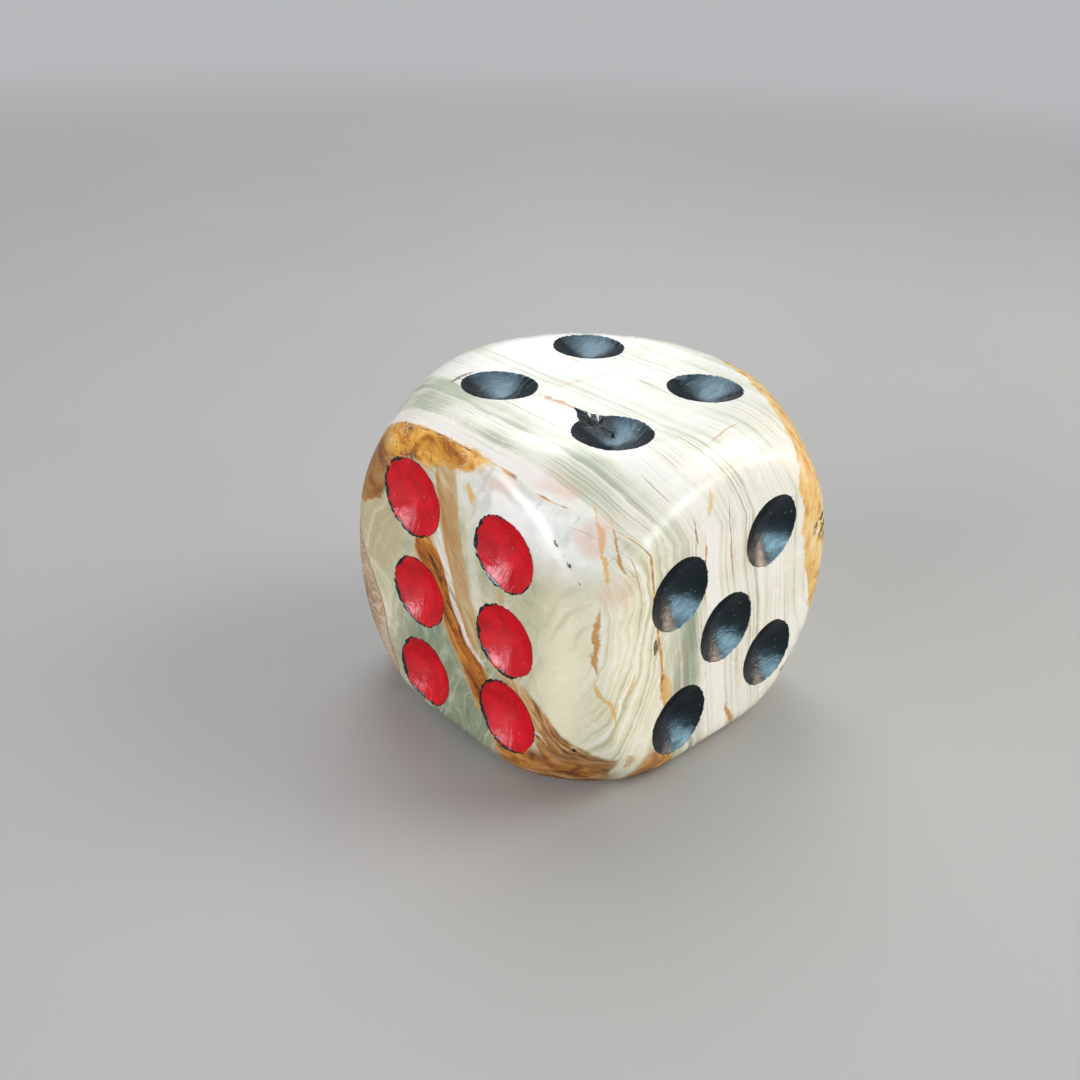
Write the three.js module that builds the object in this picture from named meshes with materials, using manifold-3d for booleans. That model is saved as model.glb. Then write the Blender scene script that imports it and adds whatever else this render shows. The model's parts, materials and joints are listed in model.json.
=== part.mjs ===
// A large hand-carved stone die: one block of banded onyx whose corners and edges are rounded by a ball
// shape, with 21 dished pips. Every pip is lined with black enamel, and the pips of the six and the one
// carry a second coat of red enamel over the black. Millimetres, +Z up, origin at the centre of the block.

import * as THREE from 'three';
import Module from 'manifold-3d';
import { RoundedBoxGeometry } from 'three/addons/geometries/RoundedBoxGeometry.js';
import { mergeVertices } from 'three/addons/utils/BufferGeometryUtils.js';

const wasm = await Module();
wasm.setup();

// Driving dimensions of the block.
const WIDTH = 76;
const DEPTH = 76.2;
const HEIGHT = 72;
const BALL_RADIUS = 51.6;
const BALL_DROP = 3.4;
const EDGE_RADIUS = 5;
const BALL_DETAIL = 12;
const EDGE_SEGMENTS = 3;

// Driving dimensions of the pips and their enamel. Depths run along the pip's axis.
const PIP_RADIUS = 7.9;
const PIP_DEPTH = 3.2;
const DISH_POWER = 1.5;
const DISH_STEPS = 2;
const DISH_OVERRUN = 1.15;
const PIP_SEGMENTS = 20;
const COAT_THICKNESS = 0.25;
const COAT_CLEARANCE = 0.3;

const FINISHES = {
  stone: { color: 0xdfdcc6, roughness: 0.25, metalness: 0 },
  black: { color: 0x0e1013, roughness: 0.15, metalness: 0 },
  red: { color: 0xb01420, roughness: 0.22, metalness: 0 },
};

// Each face has the directions across and up its pip pattern, seen from outside, and its distance from
// the origin. A pattern is a list of pips as [column, row, wander across, wander up]. Columns and rows
// are multiplied by the pitch, the pattern is turned by the twist and shifted by the shift, and the
// wander is how far the hand-held drill strayed.
const FACES = [
  {
    name: 'one', across: [-1, 0, 0], up: [0, 0, 1], distance: DEPTH / 2, coats: ['undercoat', 'enamel'],
    pitch: [0, 0], twist: 0, shift: [1, -1],
    pips: [[0, 0, 0, 0]],
  },
  {
    name: 'two', across: [0, -1, 0], up: [0, 0, 1], distance: WIDTH / 2, coats: ['enamel'],
    pitch: [14, 15], twist: -3, shift: [-1, -1],
    pips: [[-1, 1, 0, 0], [1, -1, 0, 0]],
  },
  {
    name: 'three', across: [1, 0, 0], up: [0, -1, 0], distance: HEIGHT / 2, coats: ['enamel'],
    pitch: [16, 16], twist: 4, shift: [0, 1],
    pips: [[-1, 1, 0, 0], [0, 0, 0.5, 0], [1, -1, 0, -0.5]],
  },
  {
    name: 'four', across: [1, 0, 0], up: [0, 1, 0], distance: HEIGHT / 2, coats: ['enamel'],
    pitch: [15.8, 15.7], twist: 5.5, shift: [1.6, -1.2],
    pips: [[-1, -1, 1.2, 1], [-1, 1, -1.4, 0.7], [1, -1, 0.6, -0.9], [1, 1, -0.4, -0.9]],
  },
  {
    name: 'five', across: [0, 1, 0], up: [0, 0, 1], distance: WIDTH / 2, coats: ['enamel'],
    pitch: [13.9, 15.8], twist: 8.6, shift: [1.4, -1.8],
    pips: [[-1, 1, 0.5, 0], [1, 1, 0, 0.4], [0, 0, 0.2, -0.3], [-1, -1, -0.5, 0], [1, -1, 0, 0.3]],
  },
  {
    name: 'six', across: [1, 0, 0], up: [0, 0, 1], distance: DEPTH / 2, coats: ['undercoat', 'enamel'],
    pitch: [13.6, 19.3], twist: 3.5, shift: [1.6, -0.5],
    pips: [
      [-1, 1, -0.6, 1.7], [1, 1, 0.2, -1.1], [-1, 0, 0, -0.5],
      [1, 0, -0.1, -0.7], [-1, -1, 0.6, -0.5], [1, -1, -0.1, 1.1],
    ],
  },
];

function solidOf(geometry) {
  const bare = geometry.clone();
  bare.deleteAttribute('normal');
  bare.deleteAttribute('uv');
  const merged = mergeVertices(bare);
  return new wasm.Manifold(new wasm.Mesh({
    numProp: 3,
    vertProperties: merged.attributes.position.array,
    triVerts: new Uint32Array(merged.index.array),
  }));
}

function geometryOf(solid) {
  const mesh = solid.getMesh();
  const geometry = new THREE.BufferGeometry();
  geometry.setAttribute('position', new THREE.BufferAttribute(mesh.vertProperties, 3));
  geometry.setIndex(new THREE.BufferAttribute(mesh.triVerts, 1));
  geometry.computeVertexNormals();
  return geometry;
}

function namedMesh(name, geometry, finish) {
  const mesh = new THREE.Mesh(geometry, new THREE.MeshStandardMaterial(FINISHES[finish]));
  mesh.name = name;
  return mesh;
}

// The block before drilling: a box with softened edges, kept only where it is inside the ball.
function blankGeometry() {
  const box = new RoundedBoxGeometry(WIDTH, DEPTH, HEIGHT, EDGE_SEGMENTS, EDGE_RADIUS);
  const ball = new THREE.IcosahedronGeometry(BALL_RADIUS, BALL_DETAIL);
  ball.translate(0, 0, -BALL_DROP);
  return geometryOf(solidOf(box).intersect(solidOf(ball)));
}

// The dish of a pip, from its lowest point on the axis to just beyond its rim, raised by a lift. The
// face is at height 0 and the axis is Y.
function dishCurve(lift) {
  const points = [];
  for (let step = 0; step <= DISH_STEPS; step += 1) {
    const share = DISH_OVERRUN * step / DISH_STEPS;
    points.push(new THREE.Vector2(PIP_RADIUS * share, PIP_DEPTH * (share ** DISH_POWER - 1) + lift));
  }
  return points;
}

// The solid that a pip's drill removes.
function dishCutter() {
  const dish = dishCurve(0);
  const top = new THREE.Vector2(0, dish[DISH_STEPS].y);
  return new THREE.LatheGeometry([...dish, top], PIP_SEGMENTS);
}

// A coat of enamel lying in the dish, the given number of coats above the stone.
function coatShell(layer) {
  const lift = COAT_CLEARANCE + layer * (COAT_THICKNESS + COAT_CLEARANCE);
  const underside = dishCurve(lift);
  const surface = dishCurve(lift + COAT_THICKNESS);
  return new THREE.LatheGeometry([...underside, ...surface.reverse()], PIP_SEGMENTS);
}

// A group on a face: X runs across the pattern, Y points out of the block, and Z runs down the pattern.
function faceGroup(face) {
  const across = new THREE.Vector3(...face.across);
  const up = new THREE.Vector3(...face.up);
  const outward = new THREE.Vector3().crossVectors(across, up);
  const group = new THREE.Group();
  group.position.copy(outward).multiplyScalar(face.distance);
  group.quaternion.setFromRotationMatrix(
    new THREE.Matrix4().makeBasis(across, outward, up.clone().negate()),
  );
  return group;
}

// The middle of a face's round flat, measured up the face from the face group's origin.
function flatCentre(face) {
  return face.up[2] === 0 ? 0 : -BALL_DROP;
}

function pipPosition(face, [column, row, strayAcross, strayUp]) {
  const twist = THREE.MathUtils.degToRad(face.twist);
  const spot = new THREE.Vector2(column * face.pitch[0], row * face.pitch[1]);
  spot.rotateAround(new THREE.Vector2(), twist);
  const across = spot.x + face.shift[0] + strayAcross;
  const up = spot.y + face.shift[1] + strayUp + flatCentre(face);
  return new THREE.Vector3(across, 0, -up);
}

function coatName(face, coat, number) {
  return face.pips.length > 1 ? `${face.name}_${coat}_${number}` : `${face.name}_${coat}`;
}

const die = new THREE.Group();
const blank = blankGeometry();
const cutter = dishCutter();
let stone = solidOf(blank);

for (const face of FACES) {
  const group = faceGroup(face);
  die.add(group);
  face.pips.forEach((pip, index) => {
    const place = new THREE.Object3D();
    place.position.copy(pipPosition(face, pip));
    group.add(place);
    place.updateWorldMatrix(true, false);
    const toDie = place.matrixWorld;
    group.remove(place);
    stone = stone.subtract(solidOf(cutter.clone().applyMatrix4(toDie)));
    // The coats end flush with the block's outer surface.
    const blankHere = solidOf(blank.clone().applyMatrix4(toDie.clone().invert()));
    face.coats.forEach((coat, layer) => {
      const coatGeometry = geometryOf(solidOf(coatShell(layer)).intersect(blankHere));
      const mesh = namedMesh(coatName(face, coat, index + 1), coatGeometry, layer ? 'red' : 'black');
      mesh.position.copy(place.position);
      group.add(mesh);
    });
  });
}

die.add(namedMesh('stone_body', geometryOf(stone), 'stone'));

export default die;
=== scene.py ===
"""The looks of a large hand-carved onyx die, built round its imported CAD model.

The block is a cube with softened edges inside a ball, dished by 21 pips and painted with enamel. Lengths
are in metres, and MM turns millimetres into them. The stone's pattern is worked out in millimetres.
"""

import json
import math

import bmesh
import bpy
import numpy as np
from mathutils import Matrix, Vector


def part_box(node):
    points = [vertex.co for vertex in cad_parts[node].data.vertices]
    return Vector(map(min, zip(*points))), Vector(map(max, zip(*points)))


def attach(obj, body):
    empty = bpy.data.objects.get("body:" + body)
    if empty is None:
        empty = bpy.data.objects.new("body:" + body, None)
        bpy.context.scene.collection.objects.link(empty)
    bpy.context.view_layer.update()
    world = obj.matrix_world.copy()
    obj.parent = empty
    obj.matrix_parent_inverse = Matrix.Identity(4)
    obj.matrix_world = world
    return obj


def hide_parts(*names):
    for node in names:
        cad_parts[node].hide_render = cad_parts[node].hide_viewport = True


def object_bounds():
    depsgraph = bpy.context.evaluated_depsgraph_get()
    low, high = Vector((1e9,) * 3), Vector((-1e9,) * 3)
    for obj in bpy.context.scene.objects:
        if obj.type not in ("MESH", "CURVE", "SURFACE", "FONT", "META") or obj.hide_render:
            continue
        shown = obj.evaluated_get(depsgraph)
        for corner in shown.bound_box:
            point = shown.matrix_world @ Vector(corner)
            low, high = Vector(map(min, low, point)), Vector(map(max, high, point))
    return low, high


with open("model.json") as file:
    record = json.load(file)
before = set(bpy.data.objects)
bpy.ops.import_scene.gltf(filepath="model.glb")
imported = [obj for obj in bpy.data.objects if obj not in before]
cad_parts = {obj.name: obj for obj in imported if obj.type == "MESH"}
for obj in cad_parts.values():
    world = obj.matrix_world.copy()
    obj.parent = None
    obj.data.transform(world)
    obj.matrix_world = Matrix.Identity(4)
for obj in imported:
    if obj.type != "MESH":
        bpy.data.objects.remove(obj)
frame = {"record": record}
cad_low, cad_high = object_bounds()

MM = 0.001

# The block.
HALF = (np.array(cad_high) - np.array(cad_low)) / 2
BALL_CENTRE = np.array((0, 0, -3.4)) * MM
BALL_RADIUS = 51.6 * MM
EDGE_BLEND = 6 * MM
BALL_BLEND = 3 * MM
HAND_WAVE = 0.05 * MM
BLOCK_CELLS = 104
SEARCH_HALVINGS = 26

# The pips. A CAD coat is narrower than its pip by the coat's lift in the sloping dish.
RIM_BEYOND_COAT = 0.7 * MM
DISH_DEPTH = 3.2 * MM
DISH_ROUNDING = 0.4
DISH_LIP = 0.07
PIP_STRETCH = {"six": (1.03, 0.97), "six_undercoat_1": (1.13, 1.06)}
RIM_WOBBLE = 0.008
RIM_SEGMENTS = 160
RIM_STEPS = 140
# How far out a rim is looked for, in pip radii, and how far past it the cracked pip is cut.
RIM_SEARCH = 1.15
CRACKED_RIM_SEARCH = 1.8
CRACKED_CUT = 1.04
CUTTER_RINGS = 10
COAT_RINGS = 20
CUT_ABOVE = 1.2 * MM
CUT_LID = 0.1 * MM
# A radius next to nothing, at which the height of a dish's centre is read.
AT_CENTRE = 1e-7
BLACK_THICKNESS = 0.12 * MM
RED_THICKNESS = 0.14 * MM
BED = 0.04 * MM
SMOOTH_BELOW = math.radians(28)

# The crack through the rim of one pip, and the tongue of broken stone in it. Both are in millimetres
# across and up the face, or along the crack from its tip.
CRACKED_PIP = "four_enamel_3"
CRACK_TIP = (-13.2, 2.6)
CRACK_LENGTH = 6.5
CRACK_WALL = 2.4
TONGUE_START = 2.5
TONGUE_END = 11
TONGUE_FLANK = 2.2
CRACK_RINGS = 72

# Directions across and up each face's pattern, seen from outside.
FACES = {
    "one": ((-1, 0, 0), (0, 0, 1)),
    "two": ((0, -1, 0), (0, 0, 1)),
    "three": ((1, 0, 0), (0, -1, 0)),
    "four": ((1, 0, 0), (0, 1, 0)),
    "five": ((0, 1, 0), (0, 0, 1)),
    "six": ((1, 0, 0), (0, 0, 1)),
}


# ---------------------------------------------------------------- shape of the block

def smooth_max(a, b, blend):
    overlap = np.maximum(blend - np.abs(a - b), 0)
    return np.maximum(a, b) + overlap**2 / (4 * blend)


def hand_wave(p):
    """The slight unevenness that hand grinding leaves on the whole surface."""
    x, y, z = (p / MM).T
    wave = np.sin(0.19 * x + 0.11 * z + 1.3) * np.sin(0.17 * y - 0.08 * x + 0.4)
    wave = wave + 0.6 * np.sin(0.33 * z + 0.21 * y) * np.sin(0.29 * x - 0.12 * z + 2.1)
    return HAND_WAVE * wave


def block_field(p):
    """Below 0 inside the undrilled block, 0 on its surface and above 0 outside. p is an (n, 3) array."""
    a, b, c = (np.abs(p) - HALF).T
    box = smooth_max(smooth_max(a, b, EDGE_BLEND), c, EDGE_BLEND)
    ball = np.linalg.norm(p - BALL_CENTRE, axis=1) - BALL_RADIUS
    return smooth_max(box, ball, BALL_BLEND) + hand_wave(p)


def cross_surface(start, direction, low, high):
    """Distances along the directions from the start points at which the block's surface is crossed."""
    low = np.full(len(start), float(low))
    high = np.full(len(start), float(high))
    for _ in range(SEARCH_HALVINGS):
        middle = (low + high) / 2
        inside = block_field(start + middle[:, None] * direction) < 0
        low = np.where(inside, middle, low)
        high = np.where(inside, high, middle)
    return (low + high) / 2


def cube_grid(cells):
    """Directions to an even grid on all six sides of a cube, with the quads that join them."""
    steps = np.tan(np.linspace(-1, 1, cells + 1) * math.pi / 4)
    across, up = (grid.ravel() for grid in np.meshgrid(steps, steps, indexing="ij"))
    corner = np.arange(cells * (cells + 1)).reshape(cells, cells + 1)[:, :cells].ravel()
    quad = np.stack([corner, corner + cells + 1, corner + cells + 2, corner + 1], axis=1)
    points, quads = [], []
    for axis in range(3):
        for side in (-1, 1):
            flat = np.empty((len(across), 3))
            flat[:, axis] = side
            flat[:, (axis + 1) % 3] = across * side
            flat[:, (axis + 2) % 3] = up
            quads.append(quad + len(points) * len(across))
            points.append(flat)
    points = np.concatenate(points)
    return points / np.linalg.norm(points, axis=1)[:, None], np.concatenate(quads)


def mesh_object(name, points, faces):
    """A new object from points and faces, with doubled points merged and its faces turned outwards."""
    mesh = bpy.data.meshes.new(name)
    mesh.from_pydata([tuple(p) for p in points], [], [tuple(f) for f in faces])
    work = bmesh.new()
    work.from_mesh(mesh)
    bmesh.ops.remove_doubles(work, verts=work.verts, dist=0.001 * MM)
    bmesh.ops.recalc_face_normals(work, faces=work.faces)
    work.to_mesh(mesh)
    work.free()
    shape = bpy.data.objects.new(name, mesh)
    bpy.context.scene.collection.objects.link(shape)
    return shape


def block_blank():
    directions, quads = cube_grid(BLOCK_CELLS)
    reach = cross_surface(np.zeros_like(directions), directions, HALF.min() / 2, BALL_RADIUS * 1.2)
    return mesh_object("onyx_block", directions * reach[:, None], quads)


# ---------------------------------------------------------------- shape of the pips

class Pip:
    """A pip's place on its face, and its dish in polar form. Heights are above the face's plane."""

    def __init__(self, node):
        across, up = FACES[node.split("_")[0]]
        self.across = np.array(across, float)
        self.up = np.array(up, float)
        self.out = np.cross(self.across, self.up)
        low, high = (np.array(corner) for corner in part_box(node))
        middle = (low + high) / 2
        self.centre = middle - self.out * (middle @ self.out) + self.out * (HALF @ np.abs(self.out))
        self.radius = (high - low) @ np.abs(self.across) / 2 + RIM_BEYOND_COAT
        self.random = np.random.default_rng(sum(node.encode()))
        self.angle = np.arange(RIM_SEGMENTS) * 2 * math.pi / RIM_SEGMENTS
        self.cracked = node == CRACKED_PIP
        wide, tall = PIP_STRETCH.get(node) or PIP_STRETCH.get(node.split("_")[0], (1, 1))
        oval = wide * tall / np.hypot(tall * np.cos(self.angle), wide * np.sin(self.angle))
        self.wobble = oval * (1 + RIM_WOBBLE * self.ripple(2, 7, 0.8))

    def ripple(self, first, last, fade):
        """A random wave round the rim, about -1 to 1, of whole-numbered waves from first to last."""
        total = np.zeros(RIM_SEGMENTS)
        power = 0
        for waves in range(first, last + 1):
            size = waves**-fade
            total += size * np.sin(waves * self.angle + self.random.uniform(0, 2 * math.pi))
            power += size**2
        return total / math.sqrt(power)

    def flat_spot(self, radius):
        """Places across and up the face for an array of radii with one column for each angle."""
        return radius * np.cos(self.angle), radius * np.sin(self.angle)

    def place(self, radius, height):
        """Points in the frame for arrays of radii and heights with one column for each angle."""
        across, up = self.flat_spot(radius)
        spot = across[..., None] * self.across + up[..., None] * self.up + height[..., None] * self.out
        return self.centre + spot

    def dish(self, radius):
        """Height of the drilled dish, which goes on rising outside the rim."""
        share = radius / (self.radius * self.wobble)
        rise = np.hypot(share, DISH_ROUNDING) - DISH_ROUNDING + DISH_LIP * share**6
        rise_at_rim = math.hypot(1, DISH_ROUNDING) - DISH_ROUNDING + DISH_LIP
        height = DISH_DEPTH * (rise / rise_at_rim - 1)
        if self.cracked:
            height = np.maximum(np.minimum(height, self.crack(radius)), self.tongue(radius))
        return height

    def beside_crack(self, radius):
        """Millimetres along the crack from its tip, and to the left of it. It runs across the face."""
        across, up = (spot / MM for spot in self.flat_spot(radius))
        return across - CRACK_TIP[0], up - CRACK_TIP[1]

    def splinters(self, along, side):
        """The unevenness of broken stone under the paint, drawn out along the crack, about -1 to 1."""
        coarse = np.sin(0.9 * along + 1.9 * side) * np.sin(2.6 * side - 0.5 * along + 1)
        middling = np.sin(1.7 * along - 3.1 * side + 2) * np.sin(4.3 * side + 0.8 * along)
        fine = np.sin(4.1 * along + 2.2 * side + 1) * np.sin(7.7 * side - 1.6 * along)
        return 0.5 * coarse + 0.45 * middling + 0.35 * fine

    def crack(self, radius):
        """Height of the crack that opens through the rim of one pip, widening from its tip."""
        along, side = self.beside_crack(radius)
        inner = np.clip(along, 0, CRACK_LENGTH)
        left_width = 0.45 + 0.17 * inner + 0.12 * np.sin(2.9 * along)
        right_width = 0.3 + 0.8 * inner + 0.3 * np.sin(1.9 * along + 1)
        share = np.where(side > 0, side / left_width, -side / right_width)
        floor = -0.35 - 0.25 * inner + 0.06 * self.splinters(along, side)
        ends = np.maximum(-along, 0) * 4 + np.maximum(along - CRACK_LENGTH, 0) * 0.9
        return (floor + CRACK_WALL * share**2.2 + ends) * MM

    def tongue(self, radius):
        """Height of the broken tongue of stone that runs along the crack and out over the dish."""
        along, side = self.beside_crack(radius)
        middle = 0.2 + 0.15 * np.sin(1.1 * along)
        width = 0.5 + 1.1 * np.clip((along - 1) / 4, 0, 1) - 0.9 * np.clip((along - 7) / 5.5, 0, 1)
        width = width + 0.1 * np.sin(2.3 * along + 1)
        crest = -0.32 - 0.11 * along + 0.15 * self.splinters(along, side)
        flanks = TONGUE_FLANK * np.abs((side - middle) / width) ** 2.4
        ends = np.maximum(TONGUE_START - along, 0) * 0.5 + np.maximum(along - TONGUE_END, 0) * 1.2
        return (crest - flanks - ends) * MM

    def block_height(self, radius):
        """Height of the undrilled block over the same places."""
        level = self.place(radius, np.zeros_like(radius)).reshape(-1, 3)
        outward = np.broadcast_to(self.out, level.shape)
        deepest, highest = -20 * MM, 2 * MM
        return cross_surface(level, outward, deepest, highest).reshape(radius.shape)

    def rim(self):
        """Radius at which the dish comes out through the block's surface, for each angle."""
        search = CRACKED_RIM_SEARCH if self.cracked else RIM_SEARCH
        shares = np.linspace(0.5, search, RIM_STEPS)
        radius = shares[:, None] * self.radius * np.ones(RIM_SEGMENTS)
        inside = self.dish(radius) < self.block_height(radius)
        last = len(shares) - 1 - inside[::-1].argmax(axis=0)
        return radius[last, np.arange(RIM_SEGMENTS)]


def closed_rings(name, first_pole, rings, last_pole):
    """A closed solid from a pole, through rings of equal point count, to another pole."""
    count = rings.shape[1]
    points = np.concatenate([[first_pole], rings.reshape(-1, 3), [last_pole]])
    here = np.arange(count)
    beside = (here + 1) % count
    faces = [(0, 1 + a, 1 + b) for a, b in zip(here, beside)]
    for ring in range(len(rings) - 1):
        start = 1 + ring * count
        faces += [(start + a, start + count + a, start + count + b, start + b)
                  for a, b in zip(here, beside)]
    start = 1 + (len(rings) - 1) * count
    faces += [(len(points) - 1, start + b, start + a) for a, b in zip(here, beside)]
    return mesh_object(name, points, faces)


def dish_cutter(pip):
    """The solid that the drill removes, standing a little above the face."""
    steps = CRACK_RINGS if pip.cracked else CUTTER_RINGS
    reach = pip.radius * pip.wobble.max() * (1 + CUT_ABOVE / DISH_DEPTH)
    far = np.full(RIM_SEGMENTS, reach)
    if pip.cracked:
        far = np.maximum(far, pip.rim() * CRACKED_CUT)
    radius = np.linspace(0, 1, steps + 1)[1:, None] * far
    height = np.minimum(pip.dish(radius), CUT_ABOVE)
    lid_radius = far[None, :]
    lid_height = np.full((1, RIM_SEGMENTS), CUT_ABOVE + CUT_LID)
    rings = pip.place(np.concatenate([radius, lid_radius]), np.concatenate([height, lid_height]))
    bottom = pip.centre + pip.out * pip.dish(np.full((1, RIM_SEGMENTS), AT_CENTRE)).min()
    return closed_rings("cutter", bottom, rings, pip.centre + pip.out * (CUT_ABOVE + CUT_LID))


def coat(name, pip, edge, ground, thickness):
    """A thin coat of paint out to the edge radius. ground gives the height of what it lies on."""
    steps = CRACK_RINGS if pip.cracked else COAT_RINGS
    share = (1 - (1 - np.linspace(0, 1, steps + 1)[1:]) ** 1.5)[:, None]
    radius = share * edge
    level = ground(radius)
    film = thickness * np.sqrt(1 - share**6) - 0.3 * BED
    upper = pip.place(radius, level + film)
    lower = pip.place(radius[:-1][::-1], level[:-1][::-1] - BED)
    centre_level = ground(np.full((1, RIM_SEGMENTS), AT_CENTRE)).min()
    top = pip.centre + pip.out * (centre_level + thickness)
    bottom = pip.centre + pip.out * (centre_level - BED)
    return closed_rings(name, top, np.concatenate([upper, lower]), bottom)


def toward_left(pip):
    """1 on the side of a pip where the black shows widest round the red, and 0 opposite it."""
    return np.clip(0.5 + 0.5 * np.cos(pip.angle - math.radians(205)), 0, 1)


def black_edge(pip, rim, under_red):
    """The black runs a little over the rim in places and stops short of it in others."""
    swell = pip.ripple(3, 12, 0.7)
    crumbs = pip.ripple(16, 46, 0.4)
    if under_red:
        left = toward_left(pip)
        return rim + (0.04 + 0.14 * swell + (0.05 + 0.10 * left) * crumbs + 0.34 * left) * MM
    return rim + (0.05 + 0.06 * swell + 0.07 * crumbs) * MM


def red_edge(pip, rim):
    """The red stops short of the black, most of all on the left."""
    left = toward_left(pip)
    short = 0.02 + 0.34 * left**1.5 + 0.18 * pip.ripple(4, 14, 0.5) + 0.06 * pip.ripple(15, 40, 0.4)
    return rim - np.maximum(short, -0.1) * MM


# ---------------------------------------------------------------- node graphs

class Graph:
    """Short calls that add nodes to a material, lamp or world, and return their output sockets."""

    def __init__(self, owner):
        owner.use_nodes = True
        self.owner = owner
        self.nodes = owner.node_tree.nodes
        self.links = owner.node_tree.links

    @property
    def surface(self):
        return self.nodes["Principled BSDF"]

    def feed(self, socket, value):
        if isinstance(value, bpy.types.NodeSocket):
            self.links.new(value, socket)
        elif value is not None:
            socket.default_value = value

    def add(self, kind, settings=None, inputs=None, output=0):
        node = self.nodes.new("ShaderNode" + kind)
        for key, value in (settings or {}).items():
            setattr(node, key, value)
        for key, value in (inputs or {}).items():
            self.feed(node.inputs[key], value)
        return node.outputs[output]

    def math(self, operation, a, b=None, c=None):
        return self.add("Math", {"operation": operation}, {0: a, 1: b, 2: c})

    def vector(self, operation, a, b=None, scale=None):
        inputs = {0: a, 1: b}
        if scale is not None:
            inputs["Scale"] = scale
        output = "Value" if operation in ("LENGTH", "DOT_PRODUCT") else "Vector"
        return self.add("VectorMath", {"operation": operation}, inputs, output)

    def step(self, value, low, high):
        """0 below low and 1 above high, with a smooth rise between. low may be above high."""
        settings = {"interpolation_type": "SMOOTHSTEP"}
        if low > high:
            return self.math("SUBTRACT", 1, self.step(value, high, low))
        return self.add("MapRange", settings, {"Value": value, "From Min": low, "From Max": high})

    def rescale(self, value, low, high, new_low, new_high):
        inputs = {"Value": value, "From Min": low, "From Max": high, "To Min": new_low, "To Max": new_high}
        return self.add("MapRange", None, inputs)

    def noise(self, where, wavelength, detail=2, rough=0.5, twist=0, output="Fac"):
        inputs = {
            "Vector": where, "Scale": 1 / wavelength, "Detail": detail,
            "Roughness": rough, "Distortion": twist,
        }
        return self.add("TexNoise", None, inputs, output)

    def noise_line(self, along, wavelength, detail=2, rough=0.5):
        inputs = {"W": along, "Scale": 1 / wavelength, "Detail": detail, "Roughness": rough}
        return self.add("TexNoise", {"noise_dimensions": "1D"}, inputs)

    def shove(self, where, wavelength, amount, detail=1):
        """where, moved about by up to roughly the amount."""
        noise = self.noise(where, wavelength, detail, output="Color")
        centred = self.vector("SUBTRACT", noise, (0.5, 0.5, 0.5))
        return self.vector("ADD", where, self.vector("SCALE", centred, scale=2.5 * amount))

    def mix(self, share, a, b, mode="MIX"):
        node = self.nodes.new("ShaderNodeMix")
        node.data_type = "RGBA"
        node.blend_type = mode
        for index, value in ((0, share), (6, a), (7, b)):
            if isinstance(value, tuple):
                value = (*value, 1)
            self.feed(node.inputs[index], value)
        return node.outputs[2]

    def split(self, vector):
        node = self.nodes.new("ShaderNodeSeparateXYZ")
        self.feed(node.inputs[0], vector)
        return node.outputs

    def ramp(self, value, stops):
        node = self.nodes.new("ShaderNodeValToRGB")
        self.feed(node.inputs[0], value)
        points = node.color_ramp.elements
        while len(points) < len(stops):
            points.new(0.5)
        for point, (position, colour) in zip(points, stops):
            point.position = position
            point.color = (*colour, 1)
        return node.outputs[0]

    def curve(self, value, points):
        """A smooth curve through (value, result) points. Both run over -50 to 50."""
        node = self.nodes.new("ShaderNodeFloatCurve")
        line = node.mapping.curves[0].points
        while len(line) < len(points):
            line.new(0.5, 0.5)
        for spot, (position, result) in zip(line, points):
            spot.location = (position / 100 + 0.5, result / 100 + 0.5)
        node.mapping.update()
        self.feed(node.inputs["Value"], self.math("MULTIPLY_ADD", value, 0.01, 0.5))
        return self.math("MULTIPLY_ADD", node.outputs[0], 100, -50)

    def all_of(self, *shares):
        total = shares[0]
        for share in shares[1:]:
            total = self.math("MULTIPLY", total, share)
        return total


# ---------------------------------------------------------------- stone

CREAM = (0.84, 0.78, 0.62)
OLIVE = (0.56, 0.55, 0.37)
LIGHT_OCHRE = (0.78, 0.47, 0.15)
OCHRE = (0.56, 0.25, 0.045)
RUST = (0.30, 0.10, 0.022)
DARK_BROWN = (0.07, 0.025, 0.01)
SPECK_BLACK = (0.02, 0.015, 0.012)
PINK = (0.80, 0.50, 0.42)

# Where the sheet that parts the banded stone from the massive stone lies, in millimetres.
SHEET_DEPTH = -23.7
SHEET_RISE = 4.6


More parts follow.
